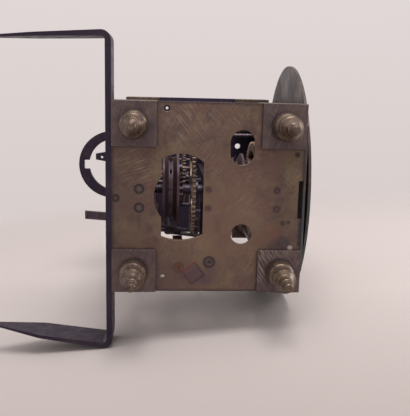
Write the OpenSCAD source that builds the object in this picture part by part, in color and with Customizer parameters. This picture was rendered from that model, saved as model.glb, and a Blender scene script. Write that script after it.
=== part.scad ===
/* [Plates and corners] */
// Side of the square bottom and top plates
plate_w = 142; // [134:1:160]
// Thickness of each plate
plate_t = 3; // [2:0.5:4]
// Clear height between the two plates
frame_h = 197; // [192:1:220]
// Height of the bottom plate above what the feet stand on
foot_h = 45; // [42:1:60]
// Height of a finial above the top plate
finial_h = 45; // [42:1:60]
// Side of the square pads and pillar blocks
pad_w = 32.6; // [28:0.2:36]
// Thickness of the square pads
pad_t = 3; // [2:0.5:5]
// Widest diameter of a foot or finial
bulb_d = 20.5; // [17:0.5:24]
// Diameter of the round part of a pillar
pillar_d = 18; // [14:0.5:19]
// Height of a pillar's square blocks
block_h = 26; // [22:1:30]
// Radius of the studs that join pillar, plate and knob
stud_r = 3.9; // [3:0.1:4.5]
// Depth of a stud in its foot or finial
stud_len = 12; // [8:1:14]

/* [Movement bars] */
// Width of the three upright bars
bar_w = 24; // [22:1:28]
// Thickness of the bars
bar_t = 3.5; // [3:0.25:4.5]
// Distance from the middle bar to the front bar
front_gap = 51.5; // [50:0.5:54]
// Distance from the middle bar to the back bar
back_gap = 51; // [50:0.5:53]
// Half the distance between the two rivets of a bar
rivet_half = 7; // [5:0.5:9]
// Radius of the rivets that show under the bottom plate
rivet_r = 2.2; // [1.6:0.1:2.8]
// Height of the arms that carry the lever arbors
arm_h = 12; // [10:1:14]

/* [Openings in the bottom plate] */
// Width of the rope cut-out of the striking side, along X
cut_w = 65; // [58:1:66]
// Depth of that cut-out, along Y
cut_d = 31; // [28:0.5:32]
// Radius of the small rope hole of the going side
rope_r = 7.85; // [6:0.05:9]
// Width of the long rope hole of the going side
slot_w = 18; // [14:1:19]
// Length of the long rope hole
slot_len = 26; // [22:1:28]
// Width of the notch in the front edge
notch_w = 29; // [20:1:34]
// Depth of the notch in the front edge
notch_d = 3.6; // [2:0.2:4]

/* [Trains] */
// Tooth module of the two great wheels and the hour wheel
great_m = 1.25; // [1.2:0.01:1.26]
// Tooth module of the upper striking wheels
upper_m = 1; // [0.96:0.01:1.02]
// Tooth module of the count wheel
count_m = 0.8; // [0.76:0.01:0.82]
// Thickness of the train wheels
wheel_t = 2.5; // [2:0.25:3]
// Height of the dial centre above the bottom plate's lower face
dial_z = 101; // [99:0.5:108]
// Height of the striking great arbor above that face
strike_z = 45; // [42:0.5:47]
// Height of the anchor arbor above that face
anchor_z = 179; // [178:0.5:184]
// Distance of the anchor arbor from the middle, towards -X
anchor_x = 9; // [6:0.5:10]
// Radius of the escape wheel
escape_r = 29; // [26:0.5:30]
// Radius of the great arbors
great_arbor_r = 4; // [3.5:0.1:4.2]
// Radius of the other arbors
arbor_r = 1.8; // [1.5:0.1:1.9]
// Radius of the pivots in the bars
pivot_r = 1.2; // [1:0.05:1.4]
// Running clearance of a turning piece, on the radius
run_gap = 0.05; // [0.04:0.01:0.08]
// End play beside a shoulder
end_gap = 0.3; // [0.2:0.05:0.5]

/* [Rope pulleys] */
// Radius of the pulley flanges
pulley_r = 29; // [26:0.5:30]
// Radius at the bottom of the pulley groove
groove_r = 23; // [20:0.5:24]
// Width of a pulley
pulley_w = 13; // [11:0.5:14]
// Number of spikes that grip the rope
spikes = 10; // [8:1:12]

/* [Levers and hammer] */
// Distance of the lever and hammer arbors from the middle
lever_x = 40; // [39:0.5:41]
// Height of the hammer arbor above the striking great arbor
hammer_rise = 28; // [27:0.5:30]
// Height of the hammer head above the top plate
hammer_up = 34; // [30:1:40]
// Width and height of the hammer head
head_w = 11; // [9:0.5:13]

/* [Dial] */
// Outer radius of the chapter ring
ring_r = 101.5; // [92:0.5:104]
// Inner radius of the chapter ring
ring_in = 60; // [56:1:66]
// Thickness of the chapter ring
ring_t = 2; // [1.5:0.5:3]
// Distance from the plates' front edge to the back of the ring
ring_out = 3.8; // [3.4:0.2:7]
// Thickness of the dial plate
dial_t = 1.6; // [1.2:0.2:2]
// Width of the dial plate
dial_w = 110; // [100:1:120]
// Length of the hour hand from the centre
hand_len = 74; // [64:1:84]

/* [Iron at the back] */
// Thickness of the wall bracket's iron
iron_t = 4.4; // [3.5:0.1:5.5]
// Width of the wall bracket's iron
iron_w = 26; // [20:1:28]
// Reach of the bracket towards -X
bracket_left = 119.5; // [112:0.5:126]
// Reach of the bracket towards +X
bracket_right = 117; // [110:0.5:124]
// Length of the bracket's arms behind the plates
bracket_arm = 97; // [80:1:110]
// Outer radius of the hanging hoop
hoop_r = 35; // [32:0.5:38]
// Width of the hoop's iron
hoop_w = 8; // [6:0.5:9]
// Extra width of the hoop's iron at its back
hoop_extra = 2.8; // [0:0.2:4]
// Distance of the hoop's centre behind the plates
hoop_back = 15.7; // [12:0.1:20]
// Thickness of the hoop
hoop_t = 4; // [3:0.5:5]
// Reach of the suspension cock behind the plates
cock_out = 32.5; // [30:0.5:36]
// Width of the suspension cock
cock_w = 10.4; // [8:0.2:12]
// Length of the crutch from its arbor to its foot
crutch_len = 110; // [90:1:120]
// Width of the crutch's foot, which enters a slot of the pendulum rod
crutch_foot_w = 6.6; // [6:0.2:8]
// Lean of the crutch from plumb, towards +X
crutch_lean = 19.6; // [14:0.2:22]

/* [Hidden] */
$fn = 48;

fit_gap = 0.05;
z_base = foot_h;
z_floor = z_base + plate_t;
z_ceiling = z_floor + frame_h;
z_top = z_ceiling + plate_t;
edge = plate_w / 2;
corner = edge - pad_w / 2;
middle_y = 0;
cut_front = 3.6;
front_y = middle_y - front_gap;
back_y = middle_y + back_gap;
front_face = front_y - bar_t / 2;
going_front = front_y + bar_t / 2;
going_back = middle_y - bar_t / 2;
strike_front = middle_y + bar_t / 2;
strike_back = back_y - bar_t / 2;
back_face = back_y + bar_t / 2;

great_teeth = 60;
second_leaves = 8;
second_teeth = 56;
escape_leaves = 7;
escape_teeth = 30;
drive_leaves = 6;
hour_teeth = 72;
strike_teeth = 56;
hoop_leaves = 7;
hoop_teeth = 56;
warning_leaves = 7;
warning_teeth = 48;
fly_leaves = 6;
count_leaves = 8;
count_teeth = 78;
hammer_pin_count = 8;

function pitch_r(teeth, m) = teeth * m / 2;
function centres(a, b, m) = (a + b) * m / 2;

z_hour = z_base + dial_z;
z_going = z_hour - centres(drive_leaves, hour_teeth, great_m);
z_second = z_going + centres(great_teeth, second_leaves, great_m);
z_escape = z_second + centres(second_teeth, escape_leaves, great_m);
z_anchor = z_base + anchor_z;
z_strike = z_base + strike_z;
z_hoop = z_strike + centres(strike_teeth, hoop_leaves, great_m);
z_warning = z_hoop + centres(hoop_teeth, warning_leaves, upper_m);
z_fly = z_warning + centres(warning_teeth, fly_leaves, upper_m);
z_count = z_strike + centres(count_leaves, count_teeth, count_m);
z_lift = z_hour + 4;
z_detent = z_lift + 22;
z_hammer = z_strike + hammer_rise;

great_y = going_front + 9;
going_pulley_y = -31;
second_y = going_back - 10;
escape_y = going_front + 26;
strike_y = strike_front + 7;
strike_pulley_y = 21;
hoop_y = strike_back - 9;
warning_y = strike_front + 12;
fly_y = strike_front + 21;
fly_w = 15;
fly_r = 15;
count_y = back_face + 4;
hour_y = front_face - 7.5;
star_y = front_face - 4;
dial_y = -edge - 0.3;
ring_y = -edge - ring_out;
arm_end = lever_x + 5;
crutch_y = edge + 3;
leg_y = edge + 9.5;

brass = "#7a6450";
pale_brass = "#a08a70";
dark_brass = "#5b463f";
iron = "#2e2836";
steel = "#6f6970";

// Extrudes a front-view outline (x, z) from y0 back to y1.
module slab_y(y0, y1) {
    translate([0, y1, 0]) rotate([90, 0, 0]) linear_extrude(y1 - y0) children();
}

// A round bar along Y at (x, z).
module rod_y(x, z, r, y0, y1) {
    translate([x, y1, z]) rotate([90, 0, 0]) cylinder(r = r, h = y1 - y0);
}

// Places children that are drawn about the Y axis at (x, z).
module at_xz(x, z) {
    translate([x, 0, z]) children();
}

function polar(r, a) = [r * cos(a), r * sin(a)];
function deg(x) = x * 180 / PI;

// One tooth: root, pitch line and tip on each side. The sizes are in modules.
function tooth(a, r, m, half, deep, high, tip) = [
    polar(r - deep * m, a - deg(half * m / r)),
    polar(r, a - deg(half * m / r)),
    polar(r + high * m, a - deg(tip * m / (r + high * m))),
    polar(r + high * m, a + deg(tip * m / (r + high * m))),
    polar(r, a + deg(half * m / r)),
    polar(r - deep * m, a + deg(half * m / r))
];

wheel_deep = 1.25;
wheel_high = 1;
pinion_deep = 1.35;
pinion_high = 0.65;

function wheel_points(teeth, m, phase) = [
    for (i = [0 : teeth - 1])
        each tooth(phase + 360 * i / teeth, pitch_r(teeth, m), m, 0.73, wheel_deep, wheel_high, 0.28)
];
function pinion_points(leaves, m, phase) = [
    for (i = [0 : leaves - 1])
        each tooth(phase + 360 * i / leaves, pitch_r(leaves, m), m, 0.5, pinion_deep, pinion_high, 0.25)
];

// A crossed-out wheel seen from the front, with a tooth at the angle phase.
module wheel_2d(teeth, m, phase, bore, hub_r, rim, arms = 4) {
    inner = pitch_r(teeth, m) - wheel_deep * m - rim;
    difference() {
        polygon(wheel_points(teeth, m, phase));
        difference() {
            circle(r = inner, $fn = 96);
            circle(r = hub_r);
            for (i = [0 : arms - 1]) rotate(i * 360 / arms + 45) translate([0, -rim / 2]) square([inner + 1, rim]);
        }
        circle(r = bore);
    }
}

// A pinion about the Y axis, with a gap at the angle gap_at.
module pinion(leaves, m, gap_at, y0, y1) {
    slab_y(y0, y1) polygon(pinion_points(leaves, m, gap_at + 180 / leaves));
}

// Half of a bulging profile between two heights, as (radius, height) points.
function bulge(h0, h1, r_end, r_mid, n = 8) = [
    for (i = [0 : n])
        let (a = 180 * i / n)
        [r_end + (r_mid - r_end) * sin(a), (h0 + h1) / 2 - cos(a) * (h1 - h0) / 2]
];

// The turned part of a foot or finial: bulb, neck, flange, rings and button over a length h.
function knob_points(h) =
    let (b = bulb_d / 2, s = (h - pad_t) / 42)
    concat(
        [[0, pad_t - 0.5], [b - 2.4, pad_t - 0.5]],
        bulge(pad_t, pad_t + 12.5 * s, b - 2.4, b, 10),
        [[b - 4.6, pad_t + 13.5 * s], [b - 5, pad_t + 16 * s], [b - 3.2, pad_t + 18.2 * s]],
        bulge(pad_t + 18.6 * s, pad_t + 23.6 * s, b - 2.6, b - 1.5, 6),
        [[b - 3.6, pad_t + 25.6 * s], [b - 5.2, pad_t + 28.4 * s], [b - 6.2, pad_t + 31.2 * s]],
        bulge(pad_t + 31.6 * s, pad_t + 34 * s, b - 6.1, b - 5.5, 4),
        [[b - 6.9, pad_t + 34.4 * s]],
        bulge(pad_t + 34.8 * s, pad_t + 37 * s, b - 6.9, b - 6.2, 4),
        [[b - 8.2, pad_t + 37.6 * s]],
        bulge(pad_t + 38 * s, pad_t + 41.2 * s, b - 8, b - 6.8, 6),
        [[b - 8.1, h], [0, h]]
    );

// A foot or finial standing up from z = 0: square pad and turned knob, with a blind hole for the stud.
module knob(h) {
    difference() {
        union() {
            translate([-pad_w / 2, -pad_w / 2, 0]) cube([pad_w, pad_w, pad_t]);
            rotate_extrude() polygon(knob_points(h));
        }
        translate([0, 0, -1]) cylinder(r = stud_r + fit_gap, h = stud_len + 1.5);
    }
}

module foot(sx, sy) {
    color(pale_brass) translate([sx * corner, sy * corner, z_base]) mirror([0, 0, 1]) knob(foot_h);
}

module finial(sx, sy) {
    color(pale_brass) translate([sx * corner, sy * corner, z_top]) knob(finial_h);
}

screw_z = z_base + iron_w / 2;
screw_r = 2.5;
screw_in = 11;
screw_head_r = 4.2;
screw_head_h = 2.4;

// The column of a pillar between its blocks, as (radius, height) points.
function column_points() =
    let (r = pillar_d / 2, low = z_floor + block_h, high = z_ceiling - block_h)
    concat(
        [[0, low - 1], [r + 3, low - 1], [r + 3, low + 1]],
        bulge(low + 1, low + 5, r + 2, r + 3.4, 6),
        [[r - 1, low + 7], [r, low + 11], [r, high - 11], [r - 1, high - 7]],
        bulge(high - 5, high - 1, r + 2, r + 3.4, 6),
        [[r + 3, high - 1], [r + 3, high + 1], [0, high + 1]]
    );

module pillar(sx, sy) {
    color(brass) difference() {
        union() {
            translate([sx * corner, sy * corner, 0]) {
                rotate_extrude() polygon(column_points());
                for (z = [z_floor, z_ceiling - block_h])
                    translate([-pad_w / 2, -pad_w / 2, z]) cube([pad_w, pad_w, block_h]);
                translate([0, 0, z_base - stud_len]) cylinder(r = stud_r, h = stud_len + plate_t + 1);
                translate([0, 0, z_ceiling - 1]) cylinder(r = stud_r, h = stud_len + plate_t + 1);
            }
        }
        if (sy > 0) rod_y(sx * corner, screw_z, screw_r + fit_gap, edge - screw_in - 0.5, edge + 1);
    }
}

// The scalloped rope cut-out of the striking side, seen from above.
module cut_out_2d() {
    left_r = 24.8;
    right_r = 35.7;
    bulge_r = 23.9;
    mid_y = cut_front + cut_d / 2;
    intersection() {
        union() {
            intersection() {
                translate([left_r - cut_w / 2 - 1, mid_y + 1]) circle(r = left_r, $fn = 96);
                translate([-cut_w, cut_front]) square([cut_w, cut_d]);
            }
            intersection() {
                translate([cut_w / 2 - 1 - right_r, mid_y + 2]) circle(r = right_r, $fn = 96);
                translate([0, cut_front]) square([cut_w, cut_d]);
            }
            translate([-1, cut_front + cut_d + 5.6 - bulge_r]) circle(r = bulge_r, $fn = 96);
        }
        translate([-cut_w, cut_front]) square([2 * cut_w, 2 * cut_d]);
    }
}

slot_x = -38.5;
slot_y = -24.5;
round_x = 26.6;
lug_x = edge - pad_w - 4.1;
lug_y = -edge + 5.4;
lug_peg_r = 1.6;
spring_x = 52.2;
spring_y = 21;
stop_x = 48.2;
stop_y = -1.8;
fix_r = 2.4;

module corner_holes_2d() {
    for (sx = [-1, 1], sy = [-1, 1]) translate([sx * corner, sy * corner]) circle(r = stud_r + fit_gap);
}

module bottom_plate() {
    color(brass) translate([0, 0, z_base]) linear_extrude(plate_t) difference() {
        square(plate_w, center = true);
        corner_holes_2d();
        cut_out_2d();
        for (sx = [-1, 1]) translate([slot_x + sx * (slot_len - slot_w) / 2, slot_y]) circle(r = slot_w / 2);
        translate([slot_x, slot_y]) square([slot_len - slot_w, slot_w], center = true);
        translate([round_x, slot_y - 1]) circle(r = rope_r);
        translate([0, -edge]) square([notch_w, 2 * notch_d], center = true);
        for (y = [front_y, middle_y, back_y], sx = [-1, 1])
            translate([sx * rivet_half, y]) circle(r = rivet_r + fit_gap);
        for (sx = [-1, 1]) translate([sx * lug_x, lug_y]) circle(r = lug_peg_r + fit_gap);
        translate([spring_x, spring_y]) circle(r = fix_r + fit_gap);
        translate([stop_x, stop_y]) circle(r = fix_r + fit_gap);
        translate([-edge + 4.9, 31.2]) circle(r = 2.4);
        translate([edge - 11.3, 33.1]) circle(r = 1.6);
    }
}

tenon_w = 10;
tenon_up = 11;
hammer_y = 27;
hammer_slot = 27;
leg_in = hoop_r - hoop_w;
cock_x = -anchor_x;
cock_screw_y = edge - 4.5;
cock_screw_r = 1.5;
hoop_rivet_r = 1.8;

// Two plain holes whose use is unknown: centre x, centre y, radius
spare_holes = [[-60.2, 30.5, 1.4], [-22, -44, 2.8]];

module top_plate() {
    color(brass) translate([0, 0, z_ceiling]) linear_extrude(plate_t) difference() {
        square(plate_w, center = true);
        corner_holes_2d();
        for (y = [front_y, middle_y, back_y])
            translate([0, y]) square([tenon_w + 2 * fit_gap, bar_t + 2 * fit_gap], center = true);
        translate([lever_x + 4 - hammer_slot, hammer_y - 5]) square([hammer_slot, 10]);
        for (sx = [-1, 1]) translate([sx * lug_x, lug_y]) circle(r = lug_peg_r + fit_gap);
        for (sx = [-1, 1], y = hoop_rivet_ys)
            translate([sx * (hoop_r - hoop_w / 2), y]) circle(r = hoop_rivet_r + fit_gap);
        for (dx = [-4, 4]) translate([cock_x + dx, cock_screw_y]) circle(r = cock_screw_r + fit_gap);
        for (hole = spare_holes) translate([hole[0], hole[1]]) circle(r = hole[2]);
    }
}

// Half the height of the widening round the anchor's pivot
boss = 9;

// The outline of a movement bar from the front, without its holes.
module bar_2d(left_arms, right_arms) {
    translate([-bar_w / 2, z_floor]) square([bar_w, frame_h]);
    for (z = left_arms) translate([-arm_end, z - arm_h / 2]) square([arm_end, arm_h]);
    for (z = right_arms) translate([0, z - arm_h / 2]) square([arm_end, arm_h]);
    translate([-anchor_x - boss, z_anchor - boss]) square([bar_w / 2 + anchor_x + boss, 2 * boss]);
}

// A bar with its riveted foot and its top tenon; children are cut away.
module bar(y, left_arms, right_arms) {
    difference() {
        union() {
            slab_y(y - bar_t / 2, y + bar_t / 2) bar_2d(left_arms, right_arms);
            translate([-bar_w / 2, y - rivet_r - 1.2, z_floor]) cube([bar_w, 2 * rivet_r + 2.4, 3]);
            for (sx = [-1, 1]) translate([sx * rivet_half, y, z_base]) cylinder(r = rivet_r, h = plate_t + 1);
            translate([-tenon_w / 2, y - bar_t / 2, z_ceiling - 1])
                cube([tenon_w, bar_t, plate_t + tenon_up + 1]);
        }
        translate([-2, y - bar_t, z_top]) cube([4, 2 * bar_t, 4.5]);
        children();
    }
}

module pivot_hole(x, z, r, y) {
    rod_y(x, z, r + run_gap, y - bar_t, y + bar_t);
}

great_pivot_r = 2.5;
hour_stud_r = 3;

module front_bar() {
    color(brass) bar(front_y, [z_lift], []) {
        pivot_hole(0, z_going, great_pivot_r, front_y);
        pivot_hole(0, z_second, pivot_r, front_y);
        pivot_hole(0, z_escape, pivot_r, front_y);
        pivot_hole(-anchor_x, z_anchor, pivot_r, front_y);
        pivot_hole(-lever_x, z_lift, pivot_r + 0.4, front_y);
        pivot_hole(0, z_hour, hour_stud_r, front_y);
    }
}

module middle_bar() {
    color(brass) bar(middle_y, [z_detent], [z_hammer]) {
        pivot_hole(0, z_going, great_pivot_r, middle_y);
        pivot_hole(0, z_second, pivot_r, middle_y);
        pivot_hole(0, z_escape, pivot_r, middle_y);
        pivot_hole(0, z_strike, great_pivot_r, middle_y);
        pivot_hole(0, z_hoop, pivot_r, middle_y);
        pivot_hole(0, z_warning, pivot_r, middle_y);
        pivot_hole(0, z_fly, pivot_r, middle_y);
        pivot_hole(-anchor_x, z_anchor, arbor_r + 1, middle_y);
        pivot_hole(-lever_x, z_detent, pivot_r, middle_y);
        pivot_hole(lever_x, z_hammer, pivot_r, middle_y);
    }
}

module back_bar() {
    color(brass) bar(back_y, [z_lift, z_detent], [z_hammer]) {
        pivot_hole(0, z_strike, great_pivot_r, back_y);
        pivot_hole(0, z_hoop, pivot_r, back_y);
        pivot_hole(0, z_warning, pivot_r, back_y);
        pivot_hole(0, z_fly, pivot_r, back_y);
        pivot_hole(-anchor_x, z_anchor, arbor_r + 1, back_y);
        pivot_hole(-lever_x, z_lift, pivot_r, back_y);
        pivot_hole(-lever_x, z_detent, pivot_r + 0.4, back_y);
        pivot_hole(lever_x, z_hammer, pivot_r, back_y);
        rod_y(0, z_count, 2 - fit_gap, back_y - bar_t, back_y + bar_t);
    }
}

module bar_wedges() {
    color(steel) for (y = [front_y, middle_y, back_y])
        translate([-1.9, y - 8, z_top]) rotate([90, 0, 90]) linear_extrude(3.8)
            polygon([[0, 0], [15, 0], [15, 3], [0, 4.3]]);
}

// The wall bracket from above: a U of flat iron whose arms run back to points.
module bracket_2d() {
    front = edge;
    back = edge + iron_t;
    tip = edge + bracket_arm;
    bend = 7;
    thin = 1.2;
    left_tip = bracket_left - 6;
    right_tip = bracket_right - 15;
    outer = concat(
        [[-left_tip, tip]],
        [for (a = [180 : 15 : 270]) [-bracket_left + bend, front + bend] + polar(bend, a)],
        [for (a = [270 : 15 : 360]) [bracket_right - bend, front + bend] + polar(bend, a)],
        [[right_tip, tip]]
    );
    inner = concat(
        [[right_tip - thin, tip]],
        [for (a = [360 : -15 : 270]) [bracket_right - bend, front + bend] + polar(bend - iron_t, a)],
        [for (a = [270 : -15 : 180]) [-bracket_left + bend, front + bend] + polar(bend - iron_t, a)],
        [[-left_tip + thin, tip]]
    );
    polygon(concat(outer, inner));
}

module wall_bracket() {
    taper = 42;
    tip = edge + bracket_arm;
    color(iron) difference() {
        intersection() {
            translate([0, 0, z_base]) linear_extrude(iron_w) bracket_2d();
            rotate([90, 0, 90]) translate([0, 0, -200]) linear_extrude(400) polygon([
                [edge - 1, z_base - 1], [tip - taper, z_base - 1], [tip - taper, z_base],
                [tip, z_base + iron_w / 2 - 1], [tip, z_base + iron_w / 2 + 1],
                [tip - taper, z_base + iron_w], [tip - taper, z_base + iron_w + 1], [edge - 1, z_base + iron_w + 1]
            ]);
        }
        for (sx = [-1, 1]) {
            rod_y(sx * corner, screw_z, screw_r + fit_gap, edge - 1, edge + iron_t + 1);
            bracket_sink(sx * corner, fit_gap);
        }
    }
}

// The countersink or head of a bracket screw, grown by a clearance.
module bracket_sink(x, grow) {
    translate([x, edge + iron_t, screw_z]) rotate([90, 0, 0])
        cylinder(r1 = screw_head_r + grow, r2 = screw_r + grow, h = screw_head_h);
}

module bracket_screws() {
    color(steel) for (sx = [-1, 1]) difference() {
        union() {
            rod_y(sx * corner, screw_z, screw_r, edge - screw_in, edge + iron_t - 1);
            bracket_sink(sx * corner, 0);
        }
        translate([sx * corner - screw_head_r - 1, edge + iron_t - 1, screw_z - 0.5])
            cube([2 * screw_head_r + 2, 2, 1]);
    }
}

hoop_y0 = edge + hoop_back;
hoop_front = 48;
hoop_notch = 9.4;
hoop_rivet_ys = [hoop_front + 6, edge - 6];

// The stirrup-shaped iron loop riveted on the top plate, with a square notch at the back.
module hanging_hoop() {
    color(iron) translate([0, 0, z_top]) linear_extrude(hoop_t) difference() {
        union() {
            translate([0, hoop_y0]) circle(r = hoop_r, $fn = 96);
            translate([-hoop_r, hoop_front]) square([2 * hoop_r, hoop_y0 - hoop_front]);
        }
        translate([0, hoop_y0 - hoop_extra]) circle(r = leg_in, $fn = 96);
        translate([-leg_in, hoop_front - 1]) square([2 * leg_in, hoop_y0 - hoop_extra - hoop_front + 1]);
        translate([-hoop_notch / 2, hoop_y0]) square([hoop_notch, leg_in + 2.2]);
        for (sx = [-1, 1], y = hoop_rivet_ys)
            translate([sx * (hoop_r - hoop_w / 2), y]) circle(r = hoop_rivet_r + fit_gap);
    }
}

module hoop_rivets() {
    color(iron) for (sx = [-1, 1], y = hoop_rivet_ys) translate([sx * (hoop_r - hoop_w / 2), y, 0]) {
        translate([0, 0, z_ceiling]) cylinder(r = hoop_rivet_r, h = plate_t + hoop_t + 0.5);
        translate([0, 0, z_top + hoop_t]) cylinder(r1 = 3.2, r2 = 2, h = 1.4);
    }
}

cock_t = 4;
cock_end = edge + cock_out;
cock_tip = cock_w - 4.4;
cock_shoulder = cock_end - 12;
cock_hole_y = cock_end - 6.2;
cock_hole_r = 1.3;
cock_foot_w = 18;
cock_foot_d = 12;
cock_in = cock_foot_d + 1;

// The cock under the top plate: foot, arm for the pendulum spring and a leg with the anchor's back pivot.
module suspension_cock() {
    color(iron) difference() {
        union() {
            translate([cock_x - cock_foot_w / 2, edge - cock_in, z_ceiling - cock_t])
                cube([cock_foot_w, cock_foot_d, cock_t]);
            translate([cock_x, 0, z_ceiling - cock_t]) linear_extrude(cock_t) polygon([
                [-cock_w / 2, edge - cock_in], [cock_w / 2, edge - cock_in], [cock_w / 2, cock_shoulder],
                [cock_tip / 2, cock_end], [-cock_tip / 2, cock_end], [-cock_w / 2, cock_shoulder]
            ]);
            slab_y(leg_y, leg_y + 3) {
                translate([cock_x - cock_w / 2, z_anchor]) square([cock_w, z_ceiling - z_anchor - 1]);
                translate([cock_x, z_anchor]) circle(r = cock_w / 2);
            }
        }
        rod_y(cock_x, z_anchor, pivot_r + run_gap, leg_y - 1, leg_y + 4);
        translate([cock_x + 0.6, cock_hole_y, z_ceiling - cock_t - 1])
            cylinder(r = cock_hole_r, h = cock_t + 2);
        for (dx = [-4, 4])
            translate([cock_x + dx, cock_screw_y, z_ceiling - cock_t - 1])
                cylinder(r = cock_screw_r + fit_gap, h = cock_t + 2);
    }
}

module cock_screws() {
    color(steel) for (dx = [-4, 4]) translate([cock_x + dx, cock_screw_y, 0]) difference() {
        union() {
            translate([0, 0, z_ceiling - cock_t]) cylinder(r = cock_screw_r, h = cock_t + plate_t + 0.5);
            translate([0, 0, z_top]) cylinder(r = 2.6, h = 1.6);
        }
        translate([-4, -0.3, z_top + 0.9]) cube([8, 0.6, 2]);
    }
}

ring_pin_x = 43;
ring_pin_z = 58;
pipe_r = 5.5;

module dial_plate() {
    low = z_base + 1;
    color(brass) slab_y(dial_y - dial_t, dial_y) difference() {
        translate([-dial_w / 2, low]) square([dial_w, z_top - 1 - low]);
        translate([0, z_hour]) circle(r = pipe_r + 1);
        for (sx = [-1, 1], sz = [-1, 1])
            translate([sx * ring_pin_x, z_hour + sz * ring_pin_z]) circle(r = 1.5 + fit_gap);
    }
}

// Four angle lugs that hold the dial plate between the two plates.
module dial_lugs() {
    leaf = 1.5;
    half = 3.4;
    color(dark_brass) for (sx = [-1, 1], top = [0, 1])
        translate([sx * lug_x, 0, top ? z_ceiling : z_floor]) mirror([0, 0, top]) {
            translate([-half, dial_y, 0]) cube([2 * half, lug_y + 4 - dial_y, 2]);
            translate([-half, dial_y, 0]) cube([2 * half, leaf, 14]);
            translate([0, lug_y, -plate_t]) cylinder(r = lug_peg_r, h = plate_t + 1);
        }
}

module chapter_ring() {
    color("#5f555c") {
        slab_y(ring_y - ring_t, ring_y) translate([0, z_hour]) difference() {
            circle(r = ring_r, $fn = 120);
            circle(r = ring_in, $fn = 120);
        }
        for (sx = [-1, 1], sz = [-1, 1]) {
            rod_y(sx * ring_pin_x, z_hour + sz * ring_pin_z, 3.5, ring_y - 0.5, dial_y - dial_t);
            rod_y(sx * ring_pin_x, z_hour + sz * ring_pin_z, 1.5, ring_y - 0.5, dial_y + 1.5);
        }
    }
}

pipe_front = ring_y - ring_t - 2.6;
hand_t = 1.4;

// The two fixed studs: one for the hour wheel, one for the count wheel.
module wheel_studs() {
    color(steel) {
        difference() {
            rod_y(0, z_hour, hour_stud_r, pipe_front - 3, front_y + bar_t / 2);
            translate([0, pipe_front - 1.9, z_hour - 10]) cylinder(r = 0.65, h = 20);
        }
        rod_y(0, z_count, 2 - fit_gap, back_y - bar_t / 2, count_y + 7);
    }
}

module hour_wheel() {
    color(pale_brass) {
        slab_y(hour_y, hour_y + wheel_t) translate([0, z_hour])
            wheel_2d(hour_teeth, great_m, -90, hour_stud_r + run_gap, pipe_r + 3, 4.5);
        slab_y(pipe_front, star_y + 1.5) translate([0, z_hour]) difference() {
            circle(r = pipe_r);
            circle(r = hour_stud_r + run_gap);
        }
    }
}

// Twelve points that lift the striking lever once an hour.
module star_wheel() {
    color(steel) slab_y(star_y, star_y + 1.5) translate([0, z_hour]) difference() {
        polygon([for (i = [0 : 11]) each [polar(star_r, 30 * i + 8), polar(star_r - 5, 30 * i + 23)]]);
        circle(r = pipe_r);
    }
}

star_r = 16;

module hour_hand() {
    y0 = pipe_front;
    y1 = pipe_front + hand_t;
    color(iron) translate([0, 0, z_hour]) rotate([0, 55, 0]) difference() {
        union() {
            rod_y(0, 0, 10, y0, y1);
            slab_y(y0, y1) polygon([[-4, 3], [-2, hand_len * 0.55], [2, hand_len * 0.55], [4, 3]]);
            slab_y(y0, y1) polygon([[-7, hand_len * 0.72], [0, hand_len], [7, hand_len * 0.72],
                [0, hand_len * 0.5]]);
            slab_y(y0, y1) polygon([[-3, -3], [-1.6, -24], [1.6, -24], [3, -3]]);
            rod_y(0, -26, 4, y0, y1);
        }
        rod_y(0, 0, pipe_r + run_gap, y0 - 1, y1 + 1);
    }
}

module hand_pin() {
    color(pale_brass) slab_y(pipe_front - 1.2, pipe_front - 0.1) translate([0, z_hour]) difference() {
        circle(r = 7);
        circle(r = hour_stud_r + fit_gap);
    }
    color(steel) translate([0, pipe_front - 1.9, z_hour - 7]) cylinder(r1 = 0.6, r2 = 0.45, h = 13);
}

// A plain arbor between two bars, with a pivot at each end.
module arbor(x, z, r, y0, y1) {
    rod_y(x, z, r, y0 + end_gap, y1 - end_gap);
    rod_y(x, z, pivot_r, y0 - bar_t + 0.4, y1 + bar_t - 0.4);
}

module going_great_wheel() {
    color(pale_brass) slab_y(great_y, great_y + wheel_t) translate([0, z_going])
        wheel_2d(great_teeth, great_m, 90, great_arbor_r, 12, 4.5);
}

module going_great_arbor() {
    drive_y = hour_y - 1.2;
    color(steel) {
        rod_y(0, z_going, great_arbor_r, going_front + end_gap, going_back - end_gap);
        rod_y(0, z_going, great_pivot_r, hour_y + wheel_t, going_back + bar_t - 0.4);
        translate([0, 0, z_going]) pinion(drive_leaves, great_m, 90, drive_y, hour_y + wheel_t + 0.6);
        rod_y(0, z_going, 8, great_y + wheel_t, great_y + wheel_t + 3);
    }
}

// A rope pulley about the Y axis, from y0 back, with a spiked groove.
module pulley(y0, bore) {
    flange = 1.8;
    slope = 3;
    translate([0, y0 + pulley_w, 0]) rotate([90, 0, 0]) {
        rotate_extrude($fn = 96) polygon([
            [bore, 0], [pulley_r, 0], [pulley_r, flange], [groove_r, flange + slope],
            [groove_r, pulley_w - flange - slope], [pulley_r, pulley_w - flange], [pulley_r, pulley_w], [bore, pulley_w]
        ]);
        for (i = [0 : spikes - 1]) rotate([0, 0, i * 360 / spikes + 9]) translate([groove_r - 1, 0, pulley_w / 2])
            rotate([0, 90, 0]) cylinder(r1 = 1.1, r2 = 0.5, h = pulley_r - groove_r - 0.5, $fn = 16);
    }
}

module going_pulley() {
    color(dark_brass) at_xz(0, z_going) pulley(going_pulley_y, great_arbor_r);
}

module second_wheel() {
    color(pale_brass) slab_y(second_y, second_y + wheel_t) translate([0, z_second])
        wheel_2d(second_teeth, great_m, 90, arbor_r, 8, 4);
}

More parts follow.
